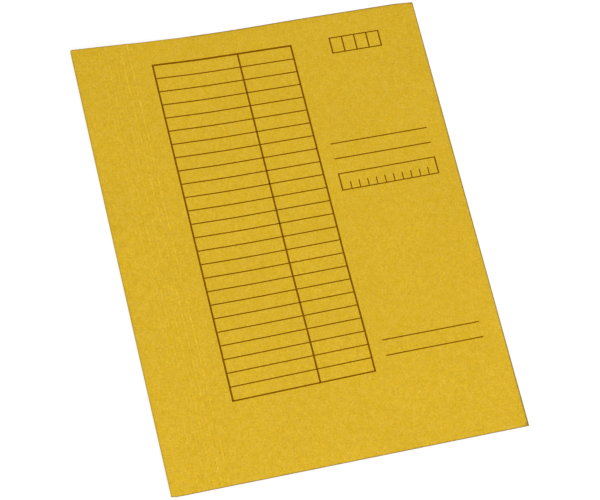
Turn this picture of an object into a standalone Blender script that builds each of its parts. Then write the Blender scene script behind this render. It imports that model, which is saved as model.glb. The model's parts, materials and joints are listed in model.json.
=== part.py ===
"""A4 quick-binder folder: one folded board cover with a scored front margin, and the tin fastener inside it.

The folder lies closed on its back cover. X runs across it from the spine to the open edge, Y runs up the
spine and Z up. The origin is the middle of the back cover's underside. All sizes are in metres.

The cover is one sheet of board on the bench. It is modelled as one solid between each two creases, because
every crease turns: the two creases of the spine, and the five scores that let the front cover roll over.
"""

import math

import bmesh
import bpy
from mathutils import Vector

MM = 0.001

# Cover sheet
FOLDER_WIDTH = 240.0 * MM
FOLDER_HEIGHT = 305.0 * MM
BACK_OVERHANG = 1.0 * MM
BOARD = 0.4 * MM
SPINE_BULGE = 0.5 * MM
SPINE_SEGMENTS = 8
PRESSED_GAP = 0.3 * MM

# Scores on the front cover, measured from the outside of the spine
SCORE_COUNT = 5
SCORE_FIRST = 18.0 * MM
SCORE_PITCH = 5.0 * MM
SCORE_GAP = 0.5 * MM

# Bow of the front cover: level beside the fastener and along its foot, and pressed down towards its top
DIP_SPAN = 54.0 * MM
DIP_FOOT = 64.0 * MM
DIP_RISE = 95.0 * MM
COVER_COLUMNS = 20
COVER_ROWS = 16

# Clearances
SEAT_GAP = 0.2 * MM
SLOT_CLEARANCE = 0.6 * MM

# Fastener
FASTENER_INSET = 24.0 * MM
HOLE_SPACING = 80.0 * MM
TIN = 0.3 * MM
PRONG_WIDTH = 5.0 * MM
PRONG_LENGTH = 38.0 * MM
PRONG_TIP_SEGMENTS = 10
BASE_WIDTH = 9.0 * MM
BASE_TAPER = 6.0 * MM
BASE_NECK = 8.0 * MM
BEND_RADIUS = 0.5 * MM
BEND_SEGMENTS = 4

# Card strip glued over the prong base
STRIP_CARD = 0.4 * MM
STRIP_WIDTH = 30.0 * MM
STRIP_BAND = 13.0 * MM
STRIP_RAMP = 2.0 * MM
STRIP_END = 6.0 * MM
STRIP_CORNER = 4.0 * MM
STRIP_SLOT_LENGTH = 1.6 * MM

# Compressor bar with a rolled rail along each side
BAR_WIDTH = 11.0 * MM
BAR_END = 5.0 * MM
BAR_TONGUE = 4.0 * MM
TONGUE_ROUND = 2.4 * MM
TONGUE_SEGMENTS = 6
RAIL_LIP = 0.7 * MM
RAIL_SEGMENTS = 8
BAR_SLOT_INNER = 1.0 * MM
BAR_SLOT_OUTER = 3.6 * MM
STOP_RADIUS = 0.5 * MM
STOP_INSET = 4.0 * MM
STOP_SEGMENTS = 10
STOP_RINGS = 6
ROOT_DEPTH = 0.1 * MM

# Sliding locks
SLIDER_LENGTH = 12.0 * MM
SLIDER_PARK = 25.0 * MM
SLIDER_SIDE_GAP = 0.5 * MM
SLIDER_CORNER = 1.2 * MM
GRIP_RADIUS = 0.55 * MM
GRIP_COUNT = 3
GRIP_PITCH = 2.6 * MM
GRIP_SEGMENTS = 8

# Heights, from the back cover up through the fastener to the front cover
BACK_MID = BOARD / 2
BASE_BOTTOM = BOARD + SEAT_GAP
BASE_TOP = BASE_BOTTOM + TIN
WING_BOTTOM = BOARD + SEAT_GAP
BAND_BOTTOM = BASE_TOP + SEAT_GAP
BAND_TOP = BAND_BOTTOM + STRIP_CARD
BAR_BOTTOM = BAND_TOP + SEAT_GAP
BAR_FLOOR = BAR_BOTTOM + TIN
PRONG_AXIS_Z = BAR_FLOOR + SEAT_GAP + TIN / 2
SLIDER_BOTTOM = PRONG_AXIS_Z + TIN / 2 + SEAT_GAP
SLIDER_TOP = SLIDER_BOTTOM + TIN
LIP_BOTTOM = SLIDER_TOP + SEAT_GAP
LIP_TOP = LIP_BOTTOM + TIN
GRIP_TOP = SLIDER_TOP + GRIP_RADIUS
FRONT_MID = max(LIP_TOP, GRIP_TOP) + SEAT_GAP + BOARD / 2
PRESSED_MID = BOARD + PRESSED_GAP + BOARD / 2

# Places across the folder
SPINE_OUTSIDE = -(FOLDER_WIDTH + BACK_OVERHANG) / 2
FOLD_X = SPINE_OUTSIDE + SPINE_BULGE + BOARD / 2
FRONT_EDGE = SPINE_OUTSIDE + FOLDER_WIDTH
BACK_EDGE = FRONT_EDGE + BACK_OVERHANG
FOLD_CLEARANCE = BOARD / 2 + SEAT_GAP
SCORES = [SPINE_OUTSIDE + SCORE_FIRST + SCORE_PITCH * i for i in range(SCORE_COUNT)]
FASTENER_X = SPINE_OUTSIDE + FASTENER_INSET

# Places up the folder
HALF_HEIGHT = FOLDER_HEIGHT / 2
PRONG_Y = HOLE_SPACING / 2
BAR_HALF = PRONG_Y + PRONG_LENGTH + BAR_END
RAIL_HALF = BAR_HALF - BAR_TONGUE
STRIP_HALF = BAR_HALF + STRIP_END
BEND_CLEARANCE = TIN / 2 + SEAT_GAP
STOP_Y = RAIL_HALF - STOP_INSET

# Finishes: colour, roughness and metallic value
BOARD_FINISH = ((0.69, 0.44, 0.03), 0.85, 0.0)
CARD_FINISH = ((0.62, 0.40, 0.04), 0.9, 0.0)
TIN_FINISH = ((0.62, 0.62, 0.60), 0.35, 1.0)
LOCK_FINISH = ((0.68, 0.67, 0.63), 0.3, 1.0)


def clear_scene():
    """Removes every object that the file holds."""
    for item in list(bpy.data.objects):
        bpy.data.objects.remove(item, do_unlink=True)


def make_material(name, colour, roughness, metallic):
    """Makes a Principled material."""
    material = bpy.data.materials.new(name)
    material.use_nodes = True
    shader = material.node_tree.nodes["Principled BSDF"]
    shader.inputs["Base Color"].default_value = (*colour, 1.0)
    shader.inputs["Roughness"].default_value = roughness
    shader.inputs["Metallic"].default_value = metallic
    return material


class Joint:
    """An empty on a joint's axis, which carries the pieces that turn or slide there."""

    def __init__(self, name, place, parent=None):
        self.place = Vector(place)
        self.empty = bpy.data.objects.new(name, None)
        self.empty.empty_display_size = 10.0 * MM
        bpy.context.collection.objects.link(self.empty)
        carrier = Vector((0.0, 0.0, 0.0))
        if parent is not None:
            self.empty.parent = parent.empty
            carrier = parent.place
        self.empty.location = self.place - carrier


def add_piece(name, mesh_builder, material, joint=None, smooth=False):
    """Turns a bmesh in world coordinates into a named object with its origin on its joint."""
    origin = joint.place if joint else Vector((0.0, 0.0, 0.0))
    bmesh.ops.translate(mesh_builder, verts=mesh_builder.verts, vec=-origin)
    bmesh.ops.recalc_face_normals(mesh_builder, faces=mesh_builder.faces)
    mesh = bpy.data.meshes.new(name)
    mesh_builder.to_mesh(mesh)
    mesh_builder.free()
    mesh.materials.append(material)
    piece = bpy.data.objects.new(name, mesh)
    bpy.context.collection.objects.link(piece)
    if joint:
        piece.parent = joint.empty
    if smooth:
        mesh.shade_smooth()
        mesh.set_sharp_from_angle(angle=math.radians(35.0))
    return piece


def boolean(piece, tool, operation):
    """Joins or cuts a piece with a hidden tool object, which moves with the piece."""
    tool.parent = piece.parent
    tool.hide_render = True
    tool.display_type = "WIRE"
    modifier = piece.modifiers.new(tool.name, "BOOLEAN")
    modifier.operation = operation
    modifier.solver = "EXACT"
    modifier.object = tool


def extrude_outline(outline, offset):
    """Makes a closed prism from a flat outline of 3-D points and an extrusion vector."""
    builder = bmesh.new()
    face = builder.faces.new([builder.verts.new(point) for point in outline])
    extruded = bmesh.ops.extrude_face_region(builder, geom=[face])
    moved = [item for item in extruded["geom"] if isinstance(item, bmesh.types.BMVert)]
    bmesh.ops.translate(builder, verts=moved, vec=offset)
    return builder


def plate(outline, bottom, top):
    """Extrudes an outline in the XY plane between two heights."""
    return extrude_outline([(x, y, bottom) for x, y in outline], (0.0, 0.0, top - bottom))


def extruded_section(section, start, end):
    """Extrudes a cross-section in the XZ plane along Y."""
    return extrude_outline([(x, start, z) for x, z in section], (0.0, end - start, 0.0))


def rectangle(left, right, low, high):
    """Gives the four corners of an upright rectangle, counter-clockwise."""
    return [(left, low), (right, low), (right, high), (left, high)]


def arc(centre, radius, start, end, segments):
    """Gives points on an arc, from one angle in degrees to another."""
    points = []
    for step in range(segments + 1):
        angle = math.radians(start + (end - start) * step / segments)
        points.append((centre[0] + radius * math.cos(angle), centre[1] + radius * math.sin(angle)))
    return points


def rounded_rectangle(left, right, low, high, radius, segments=4):
    """Gives the outline of a rectangle with round corners, counter-clockwise."""
    outline = []
    corners = [(right, high, 0), (left, high, 90), (left, low, 180), (right, low, 270)]
    for x, y, turn in corners:
        centre_x = x - radius if x == right else x + radius
        centre_y = y - radius if y == high else y + radius
        outline += arc((centre_x, centre_y), radius, turn, turn + 90, segments)
    return outline


def ease(share):
    """Goes from 0 to 1 as the share does, gently at both ends."""
    held = min(max(share, 0.0), 1.0)
    return held * held * (3.0 - 2.0 * held)


def front_height(x, y):
    """Height of the front cover's middle layer: level by the fastener and the foot, low at the upper right."""
    across = ease((x - SCORES[-1]) / DIP_SPAN)
    up = ease((y + HALF_HEIGHT - DIP_FOOT) / DIP_RISE)
    return FRONT_MID - (FRONT_MID - PRESSED_MID) * across * up


def flat_board(left, right, middle):
    """A flat part of the cover sheet, over the folder's whole height."""
    outline = rectangle(left, right, -HALF_HEIGHT, HALF_HEIGHT)
    return plate(outline, middle - BOARD / 2, middle + BOARD / 2)


def make_back_cover(material):
    """The back cover, from the lower crease of the spine to its open edge."""
    return add_piece("back_cover", flat_board(FOLD_X + FOLD_CLEARANCE, BACK_EDGE, BACK_MID), material)


def make_spine(material, joint):
    """The narrow board between the spine's two creases, pressed a little outwards by the fold."""
    low = BACK_MID + FOLD_CLEARANCE
    high = FRONT_MID - FOLD_CLEARANCE
    outer = []
    inner = []
    for step in range(SPINE_SEGMENTS + 1):
        share = step / SPINE_SEGMENTS
        height = low + (high - low) * share
        bulge = SPINE_BULGE * math.sin(math.pi * share)
        outer.append((FOLD_X - BOARD / 2 - bulge, height))
        inner.append((FOLD_X + BOARD / 2 - bulge, height))
    builder = extruded_section(outer + inner[::-1], -HALF_HEIGHT, HALF_HEIGHT)
    return add_piece("spine", builder, material, joint, smooth=True)


def make_front_margin(material, joint):
    """The part of the front cover that stays over the fastener, from the spine to the first score."""
    builder = flat_board(FOLD_X + FOLD_CLEARANCE, SCORES[0] - SCORE_GAP / 2, FRONT_MID)
    return add_piece("front_margin", builder, material, joint)


def make_score_strip(number, material, joint):
    """The strip of the front cover between two scores."""
    left = SCORES[number - 1] + SCORE_GAP / 2
    right = SCORES[number] - SCORE_GAP / 2
    return add_piece(f"score_strip_{number}", flat_board(left, right, FRONT_MID), material, joint)


def make_front_cover(material, joint):
    """The printed front cover beyond the last score, as a bowed sheet."""
    builder = bmesh.new()
    left = SCORES[-1] + SCORE_GAP / 2
    layers = []
    for offset in (-BOARD / 2, BOARD / 2):
        grid = []
        for column in range(COVER_COLUMNS + 1):
            x = left + (FRONT_EDGE - left) * column / COVER_COLUMNS
            line = []
            for row in range(COVER_ROWS + 1):
                y = -HALF_HEIGHT + FOLDER_HEIGHT * row / COVER_ROWS
                line.append(builder.verts.new((x, y, front_height(x, y) + offset)))
            grid.append(line)
        layers.append(grid)
    bottom, top = layers
    for column in range(COVER_COLUMNS):
        for row in range(COVER_ROWS):
            for grid in layers:
                near, far = grid[column], grid[column + 1]
                builder.faces.new((near[row], far[row], far[row + 1], near[row + 1]))
        for row in (0, COVER_ROWS):
            builder.faces.new((bottom[column][row], bottom[column + 1][row], top[column + 1][row], top[column][row]))
    for row in range(COVER_ROWS):
        for column in (0, COVER_COLUMNS):
            builder.faces.new((bottom[column][row], bottom[column][row + 1], top[column][row + 1], top[column][row]))
    return add_piece("front_cover", builder, material, joint, smooth=True)


def make_binding_strip(material):
    """The card strip glued inside the back cover, raised along its middle over the prong base."""
    half = STRIP_WIDTH / 2
    band = STRIP_BAND / 2
    rise = BAND_BOTTOM - WING_BOTTOM
    under = [
        (-half, WING_BOTTOM),
        (-band - STRIP_RAMP, WING_BOTTOM),
        (-band, WING_BOTTOM + rise),
        (band, WING_BOTTOM + rise),
        (band + STRIP_RAMP, WING_BOTTOM),
        (half, WING_BOTTOM),
    ]
    over = [(x, z + STRIP_CARD) for x, z in reversed(under)]
    section = [(FASTENER_X + x, z) for x, z in under + over]
    strip = add_piece("binding_strip", extruded_section(section, -STRIP_HALF, STRIP_HALF), material)
    outline = rounded_rectangle(
        FASTENER_X - half, FASTENER_X + half, -STRIP_HALF, STRIP_HALF, STRIP_CORNER
    )
    trim = add_piece("strip_corner_trim", plate(outline, 0.0, BAR_BOTTOM), material)
    boolean(strip, trim, "INTERSECT")
    for side in (-1, 1):
        half_slot = PRONG_WIDTH / 2 + SLOT_CLEARANCE
        slot = rectangle(
            FASTENER_X - half_slot,
            FASTENER_X + half_slot,
            side * PRONG_Y - STRIP_SLOT_LENGTH / 2,
            side * PRONG_Y + STRIP_SLOT_LENGTH / 2,
        )
        cutter = add_piece(f"strip_slot_{side}", plate(slot, 0.0, BAR_BOTTOM), material)
        boolean(strip, cutter, "DIFFERENCE")
    return strip


def make_prong_base(material):
    """The tin strip under the card, with the root of a prong turned up at each end."""
    root_top = PRONG_AXIS_Z - BEND_CLEARANCE
    outer_radius = BEND_RADIUS + TIN
    turn = PRONG_Y + TIN / 2 - outer_radius
    low_turn = BASE_BOTTOM + outer_radius
    under = arc((turn, low_turn), outer_radius, 270, 360, BEND_SEGMENTS)
    over = arc((turn, low_turn), BEND_RADIUS, 360, 270, BEND_SEGMENTS)
    half = under + [(PRONG_Y + TIN / 2, root_top), (PRONG_Y - TIN / 2, root_top)] + over
    section = half + [(-y, z) for y, z in reversed(half)]
    left = FASTENER_X - PRONG_WIDTH / 2
    outline = [(left, y, z) for y, z in section]
    base = add_piece("prong_base", extrude_outline(outline, (PRONG_WIDTH, 0.0, 0.0)), material)
    neck = turn - BASE_NECK
    wide = BASE_WIDTH / 2
    narrow = PRONG_WIDTH / 2 - TIN
    middle = [
        (narrow, -neck - BASE_TAPER / 2),
        (wide, -neck + BASE_TAPER / 2),
        (wide, neck - BASE_TAPER / 2),
        (narrow, neck + BASE_TAPER / 2),
        (-narrow, neck + BASE_TAPER / 2),
        (-wide, neck - BASE_TAPER / 2),
        (-wide, -neck + BASE_TAPER / 2),
        (-narrow, -neck - BASE_TAPER / 2),
    ]
    shape = [(FASTENER_X + x, y) for x, y in middle]
    boolean(base, add_piece("base_middle", plate(shape, BASE_BOTTOM, BASE_TOP), material), "UNION")
    return base


def make_prong(name, side, material, joint):
    """A flat tongue with a round tip, which turns up about the end of its root."""
    half = PRONG_WIDTH / 2
    root = PRONG_Y + BEND_CLEARANCE
    tip_centre = PRONG_Y + PRONG_LENGTH - half
    outline = [(half, root)] + arc((0.0, tip_centre), half, 0, 180, PRONG_TIP_SEGMENTS) + [(-half, root)]
    shape = [(FASTENER_X + x, side * y) for x, y in outline]
    builder = plate(shape, PRONG_AXIS_Z - TIN / 2, PRONG_AXIS_Z + TIN / 2)
    return add_piece(name, builder, material, joint, smooth=True)


def rail_section():
    """Cross-section of the rail on the +X side: the floor's edge rolled up and over to an inward lip."""
    outer = (LIP_TOP - BAR_BOTTOM) / 2
    inner = outer - TIN
    centre = (BAR_WIDTH / 2 - outer, BAR_BOTTOM + outer)
    foot = centre[0] - RAIL_LIP
    outside = arc(centre, outer, 270, 450, RAIL_SEGMENTS)
    inside = arc(centre, inner, 450, 270, RAIL_SEGMENTS)
    return [(foot, BAR_BOTTOM)] + outside + [(foot, LIP_TOP), (foot, LIP_BOTTOM)] + inside + [(foot, BAR_FLOOR)]


def stop_dimple(x, y):
    """A small dome on the bar's floor, as high as the sliding lock that it stops, rooted inside the floor."""
    root = BAR_FLOOR - ROOT_DEPTH
    builder = bmesh.new()
    bmesh.ops.create_uvsphere(builder, u_segments=STOP_SEGMENTS, v_segments=STOP_RINGS, radius=STOP_RADIUS)
    bmesh.ops.scale(builder, verts=builder.verts, vec=(1.0, 1.0, (SLIDER_TOP - root) / STOP_RADIUS))
    bmesh.ops.translate(builder, verts=builder.verts, vec=(x, y, root))
    for vertex in builder.verts:
        vertex.co.z = max(vertex.co.z, root - ROOT_DEPTH)
    return builder


def make_compressor_bar(material, joint):
    """The pressed bar that holds the sheets down, with rolled rails, two slots and end stops."""
    rail_outer = (LIP_TOP - BAR_BOTTOM) / 2
    floor_half = BAR_WIDTH / 2 - rail_outer
    tongue = floor_half - RAIL_LIP / 2
    left = FASTENER_X - tongue
    right = FASTENER_X + tongue
    outline = rounded_rectangle(left, right, -BAR_HALF, BAR_HALF, min(TONGUE_ROUND, tongue), TONGUE_SEGMENTS)
    bar = add_piece("compressor_bar", plate(outline, BAR_BOTTOM, BAR_FLOOR), material, joint, smooth=True)
    for side in (-1, 1):
        section = [(FASTENER_X + side * x, z) for x, z in rail_section()]
        rail = add_piece(f"rail_{side}", extruded_section(section, -RAIL_HALF, RAIL_HALF), material, joint)
        boolean(bar, rail, "UNION")
    for side in (-1, 1):
        half_slot = PRONG_WIDTH / 2 + SLOT_CLEARANCE
        near = side * (PRONG_Y - BAR_SLOT_INNER)
        far = side * (PRONG_Y + BAR_SLOT_OUTER)
        slot = rectangle(FASTENER_X - half_slot, FASTENER_X + half_slot, min(near, far), max(near, far))
        cutter = add_piece(f"bar_slot_{side}", plate(slot, 0.0, SLIDER_BOTTOM), material, joint)
        boolean(bar, cutter, "DIFFERENCE")
    for side in (-1, 1):
        for edge in (-1, 1):
            x = FASTENER_X + edge * (PRONG_WIDTH / 2 + SEAT_GAP + STOP_RADIUS)
            stop = add_piece(f"stop_{side}_{edge}", stop_dimple(x, side * STOP_Y), material, joint)
            boolean(bar, stop, "UNION")
    return bar


def make_slider(name, side, material, joint):
    """A sliding lock: a small plate held under the rails, with ridges for a finger."""
    rail_outer = (LIP_TOP - BAR_BOTTOM) / 2
    half = BAR_WIDTH / 2 - TIN - SLIDER_SIDE_GAP
    middle = side * SLIDER_PARK
    outline = rounded_rectangle(
        FASTENER_X - half,
        FASTENER_X + half,
        middle - SLIDER_LENGTH / 2,
        middle + SLIDER_LENGTH / 2,
        SLIDER_CORNER,
    )
    slider = add_piece(name, plate(outline, SLIDER_BOTTOM, SLIDER_TOP), material, joint, smooth=True)
    grip_half = BAR_WIDTH / 2 - rail_outer - RAIL_LIP - SLIDER_SIDE_GAP
    sunk = SLIDER_TOP - ROOT_DEPTH
    for number in range(GRIP_COUNT):
        y = middle + (number - (GRIP_COUNT - 1) / 2) * GRIP_PITCH
        ridge = arc((y, SLIDER_TOP), GRIP_RADIUS, 0, 180, GRIP_SEGMENTS)
        section = [(y + GRIP_RADIUS, sunk)] + ridge + [(y - GRIP_RADIUS, sunk)]
        outline = [(FASTENER_X - grip_half, at, z) for at, z in section]
        grip = extrude_outline(outline, (2 * grip_half, 0.0, 0.0))
        boolean(slider, add_piece(f"{name}_grip_{number}", grip, material, joint), "UNION")
    return slider


def main():
    """Builds the folder, closed."""
    clear_scene()
    board = make_material("yellow_board", *BOARD_FINISH)
    card = make_material("strip_card", *CARD_FINISH)
    tin = make_material("tinplate", *TIN_FINISH)
    lock_tin = make_material("slider_tin", *LOCK_FINISH)

    cover_open = Joint("cover_open", (FOLD_X, 0.0, BACK_MID))
    cover_fold = Joint("cover_fold", (FOLD_X, 0.0, FRONT_MID), cover_open)
    make_back_cover(board)
    make_spine(board, cover_open)
    make_front_margin(board, cover_fold)
    carrier = cover_fold
    for number in range(1, SCORE_COUNT + 1):
        carrier = Joint(f"score_{number}", (SCORES[number - 1], 0.0, FRONT_MID), carrier)
        if number < SCORE_COUNT:
            make_score_strip(number, board, carrier)
    make_front_cover(board, carrier)

    make_binding_strip(card)
    make_prong_base(tin)
    bar_lift = Joint("bar_lift", (FASTENER_X, 0.0, BAR_BOTTOM))
    make_compressor_bar(tin, bar_lift)
    for word, side in (("upper", 1), ("lower", -1)):
        bend = Joint(f"prong_{word}_bend", (FASTENER_X, side * PRONG_Y, PRONG_AXIS_Z))
        make_prong(f"prong_{word}", side, tin, bend)
        slide = Joint(f"slider_{word}_slide", (FASTENER_X, side * SLIDER_PARK, SLIDER_BOTTOM), bar_lift)
        make_slider(f"slider_{word}", side, lock_tin, slide)


main()
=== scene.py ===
"""Looks of an A4 quick-binder folder: scored and folded board, a printed form, and a tin fastener inside.

The folder lies closed on its back cover. X runs from the spine to the open edge, Y up the spine and Z up
out of the front cover, in metres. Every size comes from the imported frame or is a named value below.
"""

import json
import logging
import math
from dataclasses import dataclass
from enum import Enum
from typing import Callable

import bmesh
import bpy
from mathutils import Euler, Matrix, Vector, noise

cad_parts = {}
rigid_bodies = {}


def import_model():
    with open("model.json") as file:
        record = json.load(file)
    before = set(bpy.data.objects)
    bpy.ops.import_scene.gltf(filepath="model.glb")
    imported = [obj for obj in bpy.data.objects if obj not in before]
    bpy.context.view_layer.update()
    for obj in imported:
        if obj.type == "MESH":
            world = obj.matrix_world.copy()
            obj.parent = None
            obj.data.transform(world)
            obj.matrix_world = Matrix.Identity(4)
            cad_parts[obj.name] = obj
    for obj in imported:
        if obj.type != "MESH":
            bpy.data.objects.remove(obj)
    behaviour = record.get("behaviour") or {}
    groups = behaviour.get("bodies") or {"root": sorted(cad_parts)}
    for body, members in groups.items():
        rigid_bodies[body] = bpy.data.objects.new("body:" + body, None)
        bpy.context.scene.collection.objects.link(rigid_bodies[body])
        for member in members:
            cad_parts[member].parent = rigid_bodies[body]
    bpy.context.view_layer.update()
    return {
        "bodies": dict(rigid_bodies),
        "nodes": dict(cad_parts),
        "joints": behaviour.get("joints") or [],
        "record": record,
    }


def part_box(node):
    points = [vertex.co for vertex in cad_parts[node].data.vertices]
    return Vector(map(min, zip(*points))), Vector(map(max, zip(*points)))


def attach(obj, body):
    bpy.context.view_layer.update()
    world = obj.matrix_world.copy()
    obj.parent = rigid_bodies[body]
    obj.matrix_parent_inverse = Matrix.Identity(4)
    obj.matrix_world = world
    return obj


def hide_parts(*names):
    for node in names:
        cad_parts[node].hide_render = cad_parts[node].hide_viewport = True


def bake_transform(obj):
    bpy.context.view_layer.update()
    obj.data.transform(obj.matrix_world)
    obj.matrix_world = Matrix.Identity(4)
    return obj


LOG = logging.getLogger("folder")
MM = 0.001
COVER_ROWS = 90
ARC_STEPS = 8
SHARP_ANGLE = 50.0

# Attributes of the meshes that the board's finish reads
INSET = "inset"
# Score attribute: lightens each score's crown, partly as pale rubbed board and partly as a painted highlight,
# and darkens its flanks as painted shade.
SCORE_RUB_AND_LIGHT = "score_tone"

# Blender's names of node trees and sockets
SHADERS = "ShaderNodeTree"
GEOMETRY = "GeometryNodeTree"
FLOAT = "NodeSocketFloat"
WHOLE = "NodeSocketInt"
VECTOR = "NodeSocketVector"
COLOUR = "NodeSocketColor"
OBJECT = "NodeSocketObject"
MATERIAL = "NodeSocketMaterial"
SURFACE = {"Colour": COLOUR, "Roughness": FLOAT, "Height": FLOAT}
MESH = {"Geometry": "NodeSocketGeometry"}

Colour = tuple[float, float, float, float]
Point = tuple[float, float, float]
Flat = tuple[float, float]
Values = dict[str, object]
Node = bpy.types.Node
Socket = bpy.types.NodeSocket
Sockets = bpy.types.bpy_prop_collection
Tree = bpy.types.NodeTree
Material = bpy.types.Material
Piece = bpy.types.Object


class RuleRun(Enum):
    """Which way a printed rule runs on the page."""

    ACROSS = 0.0
    DOWN = -90.0


class Side(Enum):
    """The upper or lower half of the fastener, with its sign along Y."""

    UPPER = 1
    LOWER = -1


def srgb(red: int, green: int, blue: int) -> Colour:
    """Turns a colour in screen values into the linear one that shaders take.

    Args:
        red: Red from 0 to 255.
        green: Green from 0 to 255.
        blue: Blue from 0 to 255.

    Returns:
        The linear colour, opaque.
    """
    shares = [value / 255.0 for value in (red, green, blue)]
    linear = [share / 12.92 if share <= 0.04045 else ((share + 0.055) / 1.055) ** 2.4 for share in shares]
    return (*linear, 1.0)


def held(share: float) -> float:
    """Holds a share between 0 and 1."""
    return min(max(share, 0.0), 1.0)


def ease(share: float) -> float:
    """Goes from 0 to 1 as the share does, gently at both ends."""
    return held(share) ** 2 * (3.0 - 2.0 * held(share))


class NodeSketch:
    """Adds nodes to one tree and wires them."""

    def __init__(self, tree: Tree) -> None:
        """Keeps the tree to draw in."""
        self.tree = tree

    def feed(self, node: Node, values: dict) -> None:
        """Sets or links inputs of a node.

        Args:
            node: The node.
            values: Input names or numbers, each with a value or a socket to link from.
        """
        for key, value in values.items():
            if isinstance(value, Socket):
                self.tree.links.new(value, node.inputs[key])
            else:
                node.inputs[key].default_value = value

    def add(self, kind: str, values: dict | None = None, **settings: object) -> Node:
        """Adds a node.

        Args:
            kind: Blender's name of the node type.
            values: Its inputs, as feed takes them.
            **settings: Properties of the node.

        Returns:
            The node.
        """
        node = self.tree.nodes.new(kind)
        for key, value in settings.items():
            setattr(node, key, value)
        self.feed(node, values or {})
        return node

    def out(self, kind: str, values: dict | None = None, **settings: object) -> Socket:
        """Adds a node as add does, and gives its first output."""
        return self.add(kind, values, **settings).outputs[0]

    def group(self, tree: Tree, values: Values) -> Sockets:
        """Adds a shader node group, and gives its outputs."""
        return self.add("ShaderNodeGroup", values, node_tree=tree).outputs

    def place(self) -> Socket:
        """Coordinates on the object."""
        return self.add("ShaderNodeTexCoord").outputs["Object"]

    def noted(self, name: str) -> Socket:
        """Value of a mesh attribute."""
        return self.add("ShaderNodeAttribute", attribute_name=name).outputs["Fac"]

    def vector(self, x: object = 0.0, y: object = 0.0, z: object = 0.0) -> Socket:
        """Joins three numbers or sockets into a vector."""
        return self.out("ShaderNodeCombineXYZ", {"X": x, "Y": y, "Z": z})

    def axes(self, place: Socket) -> tuple[Socket, ...]:
        """Splits a vector into its X, Y and Z."""
        return tuple(self.add("ShaderNodeSeparateXYZ", {"Vector": place}).outputs)

    def calc(self, operation: str, *terms: object) -> Socket:
        """Adds a maths node with its operation and its inputs in order."""
        return self.out("ShaderNodeMath", dict(enumerate(terms)), operation=operation)

    def remap(self, value: object, start: float, end: float, low: float, high: float) -> Socket:
        """Turns the values from start to end into low to high, and holds them there."""
        terms = {"Value": value, "From Min": start, "From Max": end, "To Min": low, "To Max": high}
        return self.out("ShaderNodeMapRange", terms)

    def swing(self, texture: Socket, low: float, high: float, spread: float = 0.2) -> Socket:
        """Turns a noise, from spread below its middle to spread above it, into low to high."""
        return self.remap(texture, 0.5 - spread, 0.5 + spread, low, high)

    def sway(self, base: object, *layers: tuple[Socket, float]) -> Socket:
        """Moves a value up and down with layers of noise.

        Args:
            base: The value.
            *layers: Each noise with the share of it that is added.

        Returns:
            The socket of the result.
        """
        for texture, share in layers:
            base = self.calc("MULTIPLY_ADD", self.calc("SUBTRACT", texture, 0.5), share, base)
        return base

    def blend(self, share: object, first: object, second: object, mode: str = "MIX") -> Socket:
        """Mixes two colours, with a share of the second one."""
        terms = {0: share, 6: first, 7: second}
        return self.add("ShaderNodeMix", terms, data_type="RGBA", blend_type=mode).outputs[2]

    def shade(self, colour: object, level: Socket) -> Socket:
        """Multiplies every channel of a colour by a level."""
        grey = self.out("ShaderNodeCombineColor", {"Red": level, "Green": level, "Blue": level})
        return self.blend(1.0, colour, grey, "MULTIPLY")

    def bump(self, relief: float, height: Socket) -> Socket:
        """Turns a height into the direction of a bumpy surface."""
        return self.out("ShaderNodeBump", {"Strength": 1.0, "Distance": relief, "Height": height})

    def speckle(self, place: Socket, scale: float | Point, detail: float = 3.0,
                roughness: float = 0.6) -> Socket:
        """Adds a noise texture.

        Args:
            place: The coordinates it reads.
            scale: Cycles per metre, in all or for each axis.
            detail: Layers of finer noise.
            roughness: Share of the finer layers.

        Returns:
            The socket of its value, about 0.5 on average.
        """
        if isinstance(scale, tuple):
            place = self.out("ShaderNodeMapping", {"Vector": place, "Scale": scale})
            scale = 1.0
        terms = {"Vector": place, "Scale": scale, "Detail": detail, "Roughness": roughness}
        return self.add("ShaderNodeTexNoise", terms).outputs["Fac"]


def new_tree(name: str, kind: str, inputs: dict[str, str],
             outputs: dict[str, str]) -> tuple[NodeSketch, Sockets, Node]:
    """Starts a node tree with named sockets.

    Args:
        name: The tree's name.
        kind: Blender's name of the tree type.
        inputs: Socket names with their socket types.
        outputs: The same for what it gives.

    Returns:
        The tree's sketch, what its input node gives, and its output node.
    """
    tree = bpy.data.node_groups.new(name, kind)
    for way, sockets in (("INPUT", inputs), ("OUTPUT", outputs)):
        for key, socket_type in sockets.items():
            tree.interface.new_socket(key, in_out=way, socket_type=socket_type)
    sketch = NodeSketch(tree)
    return sketch, sketch.add("NodeGroupInput").outputs, sketch.add("NodeGroupOutput")


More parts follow.
